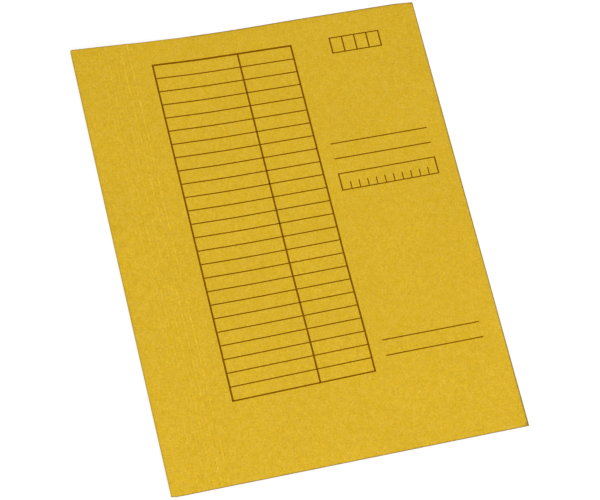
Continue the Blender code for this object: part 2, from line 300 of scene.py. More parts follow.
@dataclass(frozen=True)
class BoardGrain:
    """Grain of dyed recycled board: clouds, mottling, fibres along the sheet and pale specks.

    Scales are in cycles per metre, and shares say how far each layer moves the colour.
    """

    cloud_scale: float = 22.0
    cloud_share: float = 0.09
    mottle_scale: float = 420.0
    mottle_share: float = 0.1
    fine_scale: float = 1100.0
    fine_share: float = 0.8
    fibre_scale: Point = (1500.0, 320.0, 1500.0)
    fibre_share: float = 0.22
    patch_scale: Point = (330.0, 260.0, 330.0)
    patch_spread: float = 0.12
    patch_share: float = 0.1
    speck_scale: float = 260.0
    speck_core: float = 0.06
    speck_rim: float = 0.11
    speck_share: float = 0.55
    smoothest: float = 0.74
    roughest: float = 0.9
    fine_rise: float = 0.8
    fibre_rise: float = 0.6

    def build(self) -> Tree:
        """Makes the group.

        Returns:
            The group: it takes coordinates and colours, and gives a colour, a roughness and a height.
        """
        inputs = {"Place": VECTOR, "Dye": COLOUR, "Pale": COLOUR, "Mottle": FLOAT, "Specks": FLOAT}
        sketch, given, result = new_tree("board_grain", SHADERS, inputs, SURFACE)
        place = given["Place"]
        cloud = sketch.speckle(place, self.cloud_scale, roughness=0.5)
        mottle = sketch.speckle(place, self.mottle_scale)
        fine = sketch.speckle(place, self.fine_scale, roughness=0.65)
        fibre = sketch.speckle(place, self.fibre_scale, detail=2.0)
        tone = sketch.sway(1.0, (cloud, self.cloud_share), (mottle, self.mottle_share),
                           (fine, self.fine_share), (fibre, self.fibre_share))
        tone = sketch.calc("MULTIPLY_ADD", sketch.calc("SUBTRACT", tone, 1.0), given["Mottle"], 1.0)
        patch = sketch.speckle(place, self.patch_scale, detail=2.0)
        paled = sketch.swing(patch, 0.0, self.patch_share, self.patch_spread)
        dyed = sketch.shade(sketch.blend(paled, given["Dye"], given["Pale"]), tone)
        terms = {"Vector": place, "Scale": self.speck_scale, "Randomness": 1.0}
        cells = sketch.add("ShaderNodeTexVoronoi", terms).outputs
        lot = sketch.out("ShaderNodeSeparateColor", {"Color": cells["Color"]})
        near = sketch.remap(cells["Distance"], self.speck_core, self.speck_rim, 1.0, 0.0)
        speck = sketch.calc("MULTIPLY", near, sketch.calc("LESS_THAN", lot, given["Specks"]))
        speck = sketch.calc("MULTIPLY", speck, self.speck_share)
        height = sketch.calc("MULTIPLY_ADD", fine, self.fine_rise, mottle)
        sketch.feed(result, {
            "Colour": sketch.blend(speck, dyed, given["Pale"]),
            "Roughness": sketch.swing(mottle, self.smoothest, self.roughest),
            "Height": sketch.calc("MULTIPLY_ADD", fibre, self.fibre_rise, height),
        })
        return sketch.tree


@dataclass(frozen=True)
class PaintedEdgeShade:
    """Mask of the shade painted along the cut edges: 1 on the outline of the sheet, 0 further in, broken up
    by noise.
    """

    scale: float = 600.0
    spread: float = 0.3
    least: float = 0.4
    most: float = 1.6

    def build(self) -> Tree:
        """Makes the group.

        Returns:
            The group: it takes coordinates, the distance from the outline and a reach, and gives a mask.
        """
        inputs = {"Place": VECTOR, "Inset": FLOAT, "Reach": FLOAT}
        sketch, given, result = new_tree("cut_rim", SHADERS, inputs, {"Mask": FLOAT})
        rough = sketch.swing(sketch.speckle(given["Place"], self.scale), self.least, self.most, self.spread)
        share = sketch.calc("DIVIDE", given["Inset"], sketch.calc("MULTIPLY", given["Reach"], rough))
        sketch.feed(result, {"Mask": sketch.remap(share, 0.0, 1.0, 1.0, 0.0)})
        return sketch.tree


@dataclass(frozen=True)
class TinWear:
    """Rolled tinplate: drawn streaks, cloudy tin and fine scratches, in cycles per metre."""

    streak_scale: Point = (5200.0, 60.0, 5200.0)
    cloud_scale: float = 260.0
    scratch_scale: Point = (900.0, 2600.0, 900.0)
    stain_start: float = 0.52
    stain_end: float = 0.75
    stain_share: float = 0.6
    darkest: float = 0.86
    brightest: float = 1.06
    cloud_dulls: float = 0.35
    scratch_dulls: float = 0.2
    streak_rise: float = 0.6

    def build(self) -> Tree:
        """Makes the group.

        Returns:
            The group: it takes coordinates and colours, and gives a colour, a roughness and a height.
        """
        inputs = {"Place": VECTOR, "Tin": COLOUR, "Dull": COLOUR, "Gloss": FLOAT}
        sketch, given, result = new_tree("tin_wear", SHADERS, inputs, SURFACE)
        place = given["Place"]
        streak = sketch.speckle(place, self.streak_scale)
        cloud = sketch.speckle(place, self.cloud_scale)
        scratch = sketch.speckle(place, self.scratch_scale, 4.0, 0.7)
        stain = sketch.remap(cloud, self.stain_start, self.stain_end, 0.0, self.stain_share)
        colour = sketch.blend(stain, given["Tin"], given["Dull"])
        layers = ((cloud, self.cloud_dulls), (scratch, self.scratch_dulls))
        sketch.feed(result, {
            "Colour": sketch.shade(colour, sketch.swing(streak, self.darkest, self.brightest)),
            "Roughness": sketch.sway(given["Gloss"], *layers),
            "Height": sketch.calc("MULTIPLY_ADD", streak, self.streak_rise, scratch),
        })
        return sketch.tree


class Groups:
    """The shader node groups that more than one material uses."""

    def __init__(self) -> None:
        """Builds each group once."""
        self.grain = BoardGrain().build()
        self.rim = PaintedEdgeShade().build()
        self.tin = TinWear().build()


def new_material(name: str) -> tuple[Material, NodeSketch, Node]:
    """Starts a material.

    Args:
        name: Its name.

    Returns:
        The material, a sketch of its tree and its Principled shader.
    """
    material = bpy.data.materials.new(name)
    material.use_nodes = True
    return material, NodeSketch(material.node_tree), material.node_tree.nodes["Principled BSDF"]


@dataclass(frozen=True)
class BoardFinish:
    """Dyed board: its colours, how strongly it is mottled, and the shade painted as a darker band along its
    cut edges.
    """

    name: str
    dye: Colour
    pale: Colour
    rim: Colour
    mottle: float = 1.0
    edge_shade_reach: float = 0.75 * MM
    edge_shade_share: float = 0.8
    relief: float = 0.03 * MM
    specks: float = 0.055
    scored: bool = False
    shine: float = 0.25

    def build(self, groups: Groups) -> Material:
        """Makes the material.

        Args:
            groups: The shared node groups.

        Returns:
            The material.
        """
        material, sketch, shader = new_material(self.name)
        place = sketch.place()
        grain = sketch.group(groups.grain, {"Place": place, "Dye": self.dye, "Pale": self.pale,
                                            "Mottle": self.mottle, "Specks": self.specks})
        rim = sketch.group(groups.rim, {"Place": place, "Inset": sketch.noted(INSET),
                                        "Reach": self.edge_shade_reach})
        # Painted shade: a darker band along the cut edges stands in for the shade at the sheet's outline.
        share = sketch.calc("MULTIPLY", rim["Mask"], self.edge_shade_share)
        colour = sketch.blend(share, grain["Colour"], self.rim)
        # Painted light on the scores: a paler crown, partly rubbed board and partly painted highlight, with
        # painted shade on its flanks.
        if self.scored:
            colour = sketch.shade(colour, sketch.calc("ADD", sketch.noted(SCORE_RUB_AND_LIGHT), 1.0))
        normal = sketch.bump(self.relief, grain["Height"])
        sketch.feed(shader, {"Base Color": colour, "Roughness": grain["Roughness"], "Normal": normal,
                             "Specular IOR Level": self.shine})
        return material


@dataclass(frozen=True)
class InkFinish:
    """Matt printing ink that lets a little of the board through."""

    name: str
    ink: Colour
    thin: Colour
    scale: float = 900.0
    thin_start: float = 0.42
    thin_end: float = 0.75
    uneven: float = 0.55
    smoothest: float = 0.55
    roughest: float = 0.8
    relief: float = 0.01 * MM

    def build(self) -> Material:
        """Makes the material.

        Returns:
            The material.
        """
        material, sketch, shader = new_material(self.name)
        cover = sketch.speckle(sketch.place(), self.scale, roughness=0.65)
        share = sketch.remap(cover, self.thin_start, self.thin_end, 0.0, self.uneven)
        sketch.feed(shader, {"Base Color": sketch.blend(share, self.ink, self.thin),
                             "Roughness": sketch.swing(cover, self.smoothest, self.roughest),
                             "Normal": sketch.bump(self.relief, cover), "Specular IOR Level": 0.0})
        return material


@dataclass(frozen=True)
class TinFinish:
    """Rolled tinplate, with its gloss."""

    name: str
    tin: Colour
    dull: Colour
    gloss: float
    relief: float = 0.008 * MM

    def build(self, groups: Groups) -> Material:
        """Makes the material.

        Args:
            groups: The shared node groups.

        Returns:
            The material.
        """
        material, sketch, shader = new_material(self.name)
        wear = sketch.group(groups.tin, {"Place": sketch.place(), "Tin": self.tin, "Dull": self.dull,
                                         "Gloss": self.gloss})
        sketch.feed(shader, {"Base Color": wear["Colour"], "Roughness": wear["Roughness"],
                             "Normal": sketch.bump(self.relief, wear["Height"]), "Metallic": 1.0})
        return material


class Finishes:
    """Every material of the folder."""

    def __init__(self) -> None:
        """Builds the materials."""
        groups = Groups()
        pale = srgb(240, 212, 100)
        # Colour of the shade painted along the cut edges.
        rim = srgb(122, 98, 40)
        dye = srgb(211, 170, 24)
        card = srgb(196, 154, 48)
        stain = srgb(128, 126, 120)
        self.board = BoardFinish("dyed_board", dye, pale, rim).build(groups)
        # The scored board carries the painted highlight and painted shade of the scores, as well as paler
        # rubbed board.
        self.ridge = BoardFinish("scored_board", dye, pale, rim, specks=0.18, scored=True).build(groups)
        self.card = BoardFinish("strip_card", card, pale, rim, mottle=1.3, edge_shade_share=0.0).build(groups)
        self.ink = InkFinish("brown_ink", srgb(120, 76, 0), srgb(162, 112, 2)).build()
        self.tin = TinFinish("tinplate", srgb(176, 176, 172), stain, 0.38).build(groups)
        self.bar_tin = TinFinish("bar_tinplate", srgb(166, 166, 163), stain, 0.36).build(groups)
        self.lock_tin = TinFinish("lock_tinplate", srgb(184, 180, 168), stain, 0.3).build(groups)


@dataclass(frozen=True)
class FolderSizes:
    """The folder's sizes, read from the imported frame, and how its worn cover lies."""

    board: float
    half_height: float
    spine_outside: float
    fold_x: float
    fold_inset: float
    back_edge: float
    front_edge: float
    back_mid: float
    front_mid: float
    pressed_mid: float
    scores: tuple[float, ...]
    score_gap: float
    dip_span: float = 53.3 * MM
    rise_middle: float = 197.2 * MM
    rise_length: float = 76.9 * MM
    edge_rise_middle: float = 159.6 * MM
    edge_rise_length: float = 204.9 * MM
    rise_widens: float = 140.8 * MM
    wave: float = 0.05 * MM
    waves_across: float = 18.0
    waves_up: float = 14.0
    wave_level: float = 0.7
    slip: float = 2.3 * MM
    slip_span: float = 48.0 * MM
    fold_bow: float = 0.2 * MM
    front_skew: float = 0.6 * MM
    back_flare: float = 1.0 * MM
    back_skew: float = 2.35 * MM
    back_slip: float = 0.6 * MM
    top_dip: float = 0.55 * MM
    top_dip_middle: float = 112.0 * MM
    top_dip_span: float = 34.0 * MM
    worn_corner: float = 0.8 * MM
    worn_span: float = 10.0 * MM
    crushed_end: float = 1.0 * MM
    crushed_span: float = 2.6 * MM

    @classmethod
    def from_frame(cls, frame: dict) -> "FolderSizes":
        """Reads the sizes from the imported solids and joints.


        Returns:
            The sizes.
        """
        places = {joint["name"]: joint["pos_m"] for joint in frame["joints"] if "pos_m" in joint}
        scores = tuple(places[f"score_{number}"][0] for number in range(1, 6))
        back_low, back_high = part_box("back_cover")
        margin_low, margin_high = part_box("front_margin")
        front_low, front_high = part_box("front_cover")
        spine_low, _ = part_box("spine")
        board = back_high.z - back_low.z
        fold_x = places["cover_open"][0]
        return cls(
            board=board,
            half_height=back_high.y,
            spine_outside=spine_low.x,
            fold_x=fold_x,
            fold_inset=margin_low.x - fold_x,
            back_edge=back_high.x,
            front_edge=front_high.x,
            back_mid=back_low.z + board / 2,
            front_mid=margin_low.z + board / 2,
            pressed_mid=front_low.z + board / 2,
            scores=scores,
            score_gap=2.0 * (scores[0] - margin_high.x),
        )

    def page(self, across: float, down: float) -> Flat:
        """Turns a place on the cover, from its top left corner, into X and Y."""
        return self.spine_outside + across, self.half_height - down

    def back_height(self, _x: float, _y: float) -> float:
        """Height of the back cover's middle layer, which is level."""
        return self.back_mid

    def ripple(self, x: float, y: float) -> float:
        """Slight unevenness of a sheet that isn't quite flat."""
        return self.wave * noise.noise(Vector((x * self.waves_across, y * self.waves_up, self.wave_level)))

    def front_height(self, x: float, y: float) -> float:
        """Height of the front's middle layer: level by the spine and along the foot, low at the upper right.

        Args:
            x: Place across the folder.
            y: Place up the folder.

        Returns:
            The height.
        """
        start = self.scores[-1]
        if x <= start:
            return self.front_mid
        across = x - self.spine_outside
        down = self.half_height - y
        width = self.front_edge - self.spine_outside
        widening = ease((across - self.rise_widens) / (width - self.rise_widens))
        middle = self.rise_middle + (self.edge_rise_middle - self.rise_middle) * widening
        length = self.rise_length + (self.edge_rise_length - self.rise_length) * widening
        rise = ease((down - middle) / length + 0.5)
        sunk = ease((x - start) / self.dip_span) * (1.0 - rise)
        steady = min((x - start) / self.slip_span, 1.0)
        return self.front_mid - (self.front_mid - self.pressed_mid) * sunk + steady * self.ripple(x, y)

    def settle(self, place: Point) -> Point:
        """Moves a point of the squarely cut and folded cover to where it lies on the worn one.

        Args:
            place: A point of the square cover.

        Returns:
            The point, with the skewed fold, the unsquare cut and the worn corners.
        """
        x, y, z = place
        inset = x - self.spine_outside
        width = self.front_edge - self.spine_outside
        up = (y + self.half_height) / (2.0 * self.half_height)
        upper_mid = self.pressed_mid if inset > self.slip_span else self.front_mid
        storey = held((z - self.back_mid) / (upper_mid - self.back_mid))
        near_fold = max(1.0 - inset / self.slip_span, 0.0)
        near_end = ease((abs(y) - self.half_height) / self.worn_span + 1.0)
        outer = ease((x - self.front_edge) / self.worn_span + 1.0)
        corner = max(1.0 - inset / self.crushed_span, 0.0)
        crushed = self.crushed_end * corner * near_end if y < 0.0 else 0.0
        worn = self.worn_corner * outer * near_end if y > 0.0 else 0.0
        middle = math.exp(-((inset - self.top_dip_middle) / self.top_dip_span) ** 2)
        dip = self.top_dip * middle * max(up, 0.0) ** 4
        slip = self.slip * near_fold * storey * max(up, 0.0) ** 2
        x += self.fold_bow * (2.0 * up - 1.0) ** 2 * near_fold
        x -= self.front_skew * up * storey * inset / width
        x += (self.back_flare - self.back_skew * up) * (1.0 - storey) * inset / width
        y += slip - dip + self.back_slip * (1.0 - storey) - worn + crushed
        return (x, y, z)

    def lay(self, mesh: bpy.types.Mesh) -> None:
        """Settles a piece of the cover, and notes how far each of its points is from the outline.

        Args:
            mesh: A mesh of the squarely cut cover.
        """
        inset = mesh.attributes.new(INSET, "FLOAT", "POINT")
        for vertex in mesh.vertices:
            x, y, z = vertex.co
            edge = self.back_edge if z < 1.5 * self.board else self.front_edge
            inset.data[vertex.index].value = max(min(self.half_height - abs(y), edge - x), 0.0)
            vertex.co = self.settle((x, y, z))


def new_object(name: str, data: bpy.types.ID) -> Piece:
    """Makes an object of a mesh, a lamp or a lens, and adds it to the scene.

    Args:
        name: Its name.
        data: What it shows.

    Returns:
        The object, at the origin.
    """
    made = bpy.data.objects.new(name, data)
    bpy.context.scene.collection.objects.link(made)
    return made


def keep_mesh(name: str, builder: bmesh.types.BMesh, materials: list[Material],
              sharp: float | None = SHARP_ANGLE) -> Piece:
    """Turns a mesh that was being built into an object.

    Args:
        name: The object's name.
        builder: The built mesh, which is freed.
        materials: Its material slots.
        sharp: Angle in degrees from which edges stay sharp, or none for flat faces.

    Returns:
        The object, at the origin.
    """
    mesh = bpy.data.meshes.new(name)
    builder.to_mesh(mesh)
    builder.free()
    for material in materials:
        mesh.materials.append(material)
    if sharp is not None:
        mesh.shade_smooth()
        mesh.set_sharp_from_angle(angle=math.radians(sharp))
    return new_object(name, mesh)


def mesh_object(name: str, vertices: list[Point], faces: list[tuple[int, ...]], material: Material) -> Piece:
    """Makes a smooth-shaded object from points and faces, with its faces pointing outwards.

    Args:
        name: The object's name.
        vertices: The points.
        faces: Their faces.
        material: Its finish.

    Returns:
        The object, at the origin.
    """
    builder = bmesh.new()
    points = [builder.verts.new(place) for place in vertices]
    for face in faces:
        builder.faces.new([points[index] for index in face])
    bmesh.ops.recalc_face_normals(builder, faces=builder.faces)
    return keep_mesh(name, builder, [material])


def sweep(name: str, rings: list[list[Point]], material: Material) -> Piece:
    """Joins equal rings of points into a closed solid.

    Args:
        name: The object's name.
        rings: The rings, from one end to the other.
        material: Its finish.

    Returns:
        The object.
    """
    count = len(rings[0])
    last = count * (len(rings) - 1)
    faces = [tuple(range(count)), tuple(range(last, last + count))]
    for low in range(0, last, count):
        for index in range(count):
            after = (index + 1) % count
            faces.append((low + index, low + after, low + count + after, low + count + index))
    return mesh_object(name, [place for ring in rings for place in ring], faces, material)


def arc(centre: Flat, radius: float, start: float, end: float) -> list[Flat]:
    """Points on an arc.

    Args:
        centre: Its centre.
        radius: Its radius.
        start: First angle in degrees.
        end: Last angle in degrees.

    Returns:
        The points.
    """
    angles = [math.radians(start + (end - start) * step / ARC_STEPS) for step in range(ARC_STEPS + 1)]
    return [(centre[0] + radius * math.cos(angle), centre[1] + radius * math.sin(angle)) for angle in angles]


def stand_in(piece: Piece, node: str, body: str) -> Piece:
    """Puts a piece in the place of a CAD node.

    Args:
        piece: The piece.
        node: The CAD node that it replaces.
        body: The body that it rides on.

    Returns:
        The piece.
    """
    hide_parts(node)
    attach(piece, body)
    LOG.info("%s rides on %s", piece.name, body)
    return piece


def bend(piece: Piece, bodies: tuple[str, str]) -> None:
    """Fixes a piece's place into its mesh, and logs the two bodies that it lies between.

    Args:
        piece: The piece.
        bodies: The body at its start and the one at its end.
    """
    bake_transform(piece)
    LOG.info("%s bends between %s and %s", piece.name, *bodies)


@dataclass
class BoardPanel:
    """One stretch of board: a closed sheet with rounded rims, over a height that may vary."""

    name: str
    left: float
    right: float
    half_height: float
    thickness: float
    height: Callable[[float, float], float]
    columns: int
    right_rim: float = 0.02 * MM
    left_rim: float = 0.02 * MM
    end_rim: float = 0.12 * MM
    rim_steps: int = 3

    def stations(self, start: float, end: float, count: int, first_rim: float, last_rim: float) -> list[Flat]:
        """Places along one direction, close together on the rims.

        Args:
            start: Where the sheet starts.
            end: Where it ends.
            count: Equal steps between the rims.
            first_rim: Rounding at the start.
            last_rim: Rounding at the end.

        Returns:
            Each place with how far the sheet's face drops there towards its middle layer.
        """
        turns = [math.pi / 2 * step / self.rim_steps for step in range(self.rim_steps, 0, -1)]
        rims = [(1 - math.sin(turn), 1 - math.cos(turn)) for turn in turns]
        low = start + first_rim
        high = end - last_rim
        places = [(start + first_rim * inward, first_rim * drop) for inward, drop in rims]
        places += [(low + (high - low) * step / count, 0.0) for step in range(count + 1)]
        return places + [(end - last_rim * inward, last_rim * drop) for inward, drop in reversed(rims)]

    def build(self, material: Material) -> Piece:
        """Makes the panel.

        Args:
            material: Its finish.

        Returns:
            The object.
        """
        across = self.stations(self.left, self.right, self.columns, self.left_rim, self.right_rim)
        along = self.stations(-self.half_height, self.half_height, COVER_ROWS, self.end_rim, self.end_rim)
        wide = len(across)
        vertices = []
        for y, end_drop in along:
            for x, side_drop in across:
                half = self.thickness / 2 - max(end_drop, side_drop)
                middle = self.height(x, y)
                vertices += [(x, y, middle + half), (x, y, middle - half)]

        def at(row: int, column: int, under: int) -> int:
            """Number of a point on the top (0) or the underside (1)."""
            return 2 * (row * wide + column) + under

        def wall(row: int, column: int, next_row: int, next_column: int) -> tuple[int, ...]:
            """Face between the top and the underside, from one place on the outline to the next."""
            near, far = (row, column), (next_row, next_column)
            return (at(*near, 0), at(*far, 0), at(*far, 1), at(*near, 1))

        faces = []
        for row in range(len(along) - 1):
            for column in range(wide - 1):
                for under in (0, 1):
                    faces.append((at(row, column, under), at(row, column + 1, under),
                                  at(row + 1, column + 1, under), at(row + 1, column, under)))
            faces += [wall(row, column, row + 1, column) for column in (0, wide - 1)]
        for row in (0, len(along) - 1):
            faces += [wall(row, column, row, column + 1) for column in range(wide - 1)]
        return mesh_object(self.name, vertices, faces, material)


def finish_tree(sketch: NodeSketch, take: Sockets, result: Node, geometry: Socket) -> Tree:
    """Ends a Geometry Nodes tree in Realize Instances and Set Material.

    Args:
        sketch: The tree's sketch.
        take: Its inputs, with a Finish among them.
        result: Its output node.
        geometry: What the tree made.

    Returns:
        The tree.
    """
    real = sketch.out("GeometryNodeRealizeInstances", {"Geometry": geometry})
    dressed = sketch.out("GeometryNodeSetMaterial", {"Geometry": real, "Material": take["Finish"]})
    sketch.feed(result, {"Geometry": dressed})
    return sketch.tree


def grow(name: str, tree: Tree, settings: list[Values], sharp: float | None = None) -> Piece:
    """Runs a Geometry Nodes tree once for each set of values and keeps the results as one plain mesh.

    Args:
        name: The object's name.
        tree: The tree.
        settings: Named input values of each run.
        sharp: Angle in degrees from which edges stay sharp, or none for flat faces.

    Returns:
        The object.
    """
    sockets = {item.name: item.identifier for item in tree.interface.items_tree if item.in_out == "INPUT"}
    merged = bmesh.new()
    finishes = []
    for values in settings:
        holder = new_object(f"{name}_run", bpy.data.meshes.new(f"{name}_run"))
        modifier = holder.modifiers.new("grow", "NODES")
        modifier.node_group = tree
        for key, value in values.items():
            modifier[sockets[key]] = value
        grown = holder.evaluated_get(bpy.context.evaluated_depsgraph_get())
        mesh = bpy.data.meshes.new_from_object(grown)
        finishes = list(mesh.materials)
        merged.from_mesh(mesh)
        bpy.data.objects.remove(holder, do_unlink=True)
        bpy.data.meshes.remove(mesh)
    return keep_mesh(name, merged, finishes, sharp)


@dataclass(frozen=True)
class ScoreTree:
    """Geometry Nodes tree of one score: a crowned bead over the gap between two boards, rooted in it, whose
    stored tone paints a highlight on the crown, partly pale rubbed board, and shade on the flanks.
    """

    columns: int = 25
    rows: int = 300
    bead_share: float = 0.42
    bead_turn: float = 1.5 * math.pi
    wobble_seed: float = 3.7
    wobble_scale: float = 90.0
    wobble_low: float = 0.45
    wobble_high: float = 1.25
    streak_seed: float = 5.3
    streak_scale: Point = (700.0, 190.0, 1.0)
    streak_spread: float = 0.17
    streak_low: float = -0.2
    streak_high: float = 2.1
    edge_share: float = 0.85
    root_share: float = 0.47

    def build(self) -> Tree:
        """Makes the tree.

        Returns:
            The tree.
        """
        inputs = {"Place": VECTOR, "Seed": WHOLE, "Finish": MATERIAL}
        inputs |= dict.fromkeys(("Offset", "Length", "Width", "Gap", "Root", "Rise", "Tone", "Bite"), FLOAT)
        sketch, take, result = new_tree("scored_ridge", GEOMETRY, inputs, MESH)

        def times(*terms: object) -> Socket:
            """Product of two values."""
            return sketch.calc("MULTIPLY", *terms)

        def rough(vector: Socket, seed: float, scale: float, detail: float) -> Socket:
            """Noise that differs with each seed."""
            terms = {"Vector": vector, "W": times(take["Seed"], seed), "Scale": scale, "Detail": detail}
            return sketch.add("ShaderNodeTexNoise", terms, noise_dimensions="4D").outputs["Fac"]

        size = sketch.vector(take["Width"], take["Length"], 1.0 * MM)
        block = sketch.out("GeometryNodeMeshCube", {"Size": size, "Vertices X": self.columns,
                                                    "Vertices Y": self.rows, "Vertices Z": 2})
        place = sketch.out("GeometryNodeInputPosition")
        x, y, z = sketch.axes(place)
        beside = sketch.calc("ABSOLUTE", sketch.calc("SUBTRACT", x, take["Offset"]))
        share = sketch.calc("DIVIDE", beside, times(take["Width"], self.bead_share))
        share = sketch.calc("MINIMUM", share, 1.0)
        wave = sketch.calc("COSINE", times(share, self.bead_turn))
        crown = times(wave, sketch.calc("SUBTRACT", 1.0, share))
        wobble = rough(place, self.wobble_seed, self.wobble_scale, 2.0)
        rise = times(times(take["Rise"], sketch.swing(wobble, self.wobble_low, self.wobble_high)), crown)
        along = sketch.out("ShaderNodeVectorMath", {0: place, 1: self.streak_scale}, operation="MULTIPLY")
        streak = sketch.swing(rough(along, self.streak_seed, 1.0, 1.0), self.streak_low, self.streak_high,
                              self.streak_spread)
        # Painted light: the pale crown is partly rubbed board and partly painted highlight; below zero, on
        # the flanks, it is painted shade.
        tone = times(times(take["Tone"], streak), crown)
        sink = times(take["Bite"], sketch.remap(share, self.edge_share, 1.0, -1.0, 1.0))
        inside = sketch.calc("LESS_THAN", sketch.calc("ABSOLUTE", x), times(take["Gap"], self.root_share))
        deep = sketch.calc("SUBTRACT", times(take["Bite"], -2.0), times(take["Root"], inside))
        levels = {0: sketch.calc("GREATER_THAN", z, 0.0), 2: deep, 3: sketch.calc("SUBTRACT", rise, sink)}
        height = sketch.out("ShaderNodeMix", levels, data_type="FLOAT")
        terms = {"Geometry": block, "Name": SCORE_RUB_AND_LIGHT, "Value": tone}
        toned = sketch.out("GeometryNodeStoreNamedAttribute", terms, data_type="FLOAT", domain="POINT")
        moved = sketch.vector(x, y, height)
        shaped = sketch.out("GeometryNodeSetPosition", {"Geometry": toned, "Position": moved,
                                                        "Offset": take["Place"]})
        return finish_tree(sketch, take, result, shaped)


@dataclass(frozen=True)
class RuleTree:
    """Geometry Nodes tree of printed rules: films of ink, repeated over the page and laid on the board.

    Shear, Fan and Crowd draw them slightly out of true around Middle, as on a sheet that went askew
    through the press.
    """

    drop: float = 50.0 * MM

    def build(self) -> Tree:
        """Makes the tree.

        Returns:
            The tree.
        """
        inputs = {"Start": VECTOR, "Step": VECTOR, "Middle": VECTOR, "Count": WHOLE, "Pieces": WHOLE,
                  "Board": OBJECT, "Finish": MATERIAL}
        inputs |= dict.fromkeys(("Length", "Width", "Film", "Turn", "Shear", "Fan", "Crowd"), FLOAT)
        sketch, take, result = new_tree("printed_rules", GEOMETRY, inputs, MESH)
        size = sketch.vector(take["Length"], take["Width"], take["Film"])
        film = sketch.out("GeometryNodeMeshCube", {"Size": size, "Vertices X": take["Pieces"],
                                                   "Vertices Y": 2, "Vertices Z": 2})
        half = sketch.vector(sketch.calc("MULTIPLY", take["Length"], 0.5))
        centred = sketch.out("GeometryNodeTransform", {"Geometry": film, "Translation": half})
        terms = {"Count": take["Count"], "Start Location": take["Start"], "Offset": take["Step"]}
        places = sketch.out("GeometryNodeMeshLine", terms, mode="OFFSET", count_mode="TOTAL")
        rules = sketch.out("GeometryNodeInstanceOnPoints", {"Points": places, "Instance": centred,
                                                            "Rotation": sketch.vector(z=take["Turn"])})
        flat = sketch.out("GeometryNodeRealizeInstances", {"Geometry": rules})
        x, y, z = sketch.axes(sketch.out("GeometryNodeInputPosition"))
        middle_x, middle_y, _ = sketch.axes(take["Middle"])
        across = sketch.calc("SUBTRACT", x, middle_x)
        along = sketch.calc("SUBTRACT", y, middle_y)
        slope = sketch.calc("SUBTRACT", sketch.calc("MULTIPLY", take["Fan"], along), take["Shear"])
        drawn = sketch.calc("MULTIPLY_ADD", across, slope, y)
        crowded = sketch.calc("MULTIPLY", take["Crowd"], sketch.calc("MULTIPLY", along, along))
        settled = sketch.calc("SUBTRACT", drawn, crowded)
        board = sketch.add("GeometryNodeObjectInfo", {"Object": take["Board"]}).outputs["Geometry"]
        ray = sketch.add("GeometryNodeRaycast", {
            "Target Geometry": board, "Source Position": sketch.vector(x, settled, self.drop),
            "Ray Direction": (0.0, 0.0, -1.0), "Ray Length": 2.0 * self.drop,
        })
        hit = sketch.axes(ray.outputs["Hit Position"])[2]
        laid = sketch.vector(x, settled, sketch.calc("ADD", hit, z))
        moved = sketch.out("GeometryNodeSetPosition", {"Geometry": flat, "Position": laid})
        return finish_tree(sketch, take, result, moved)


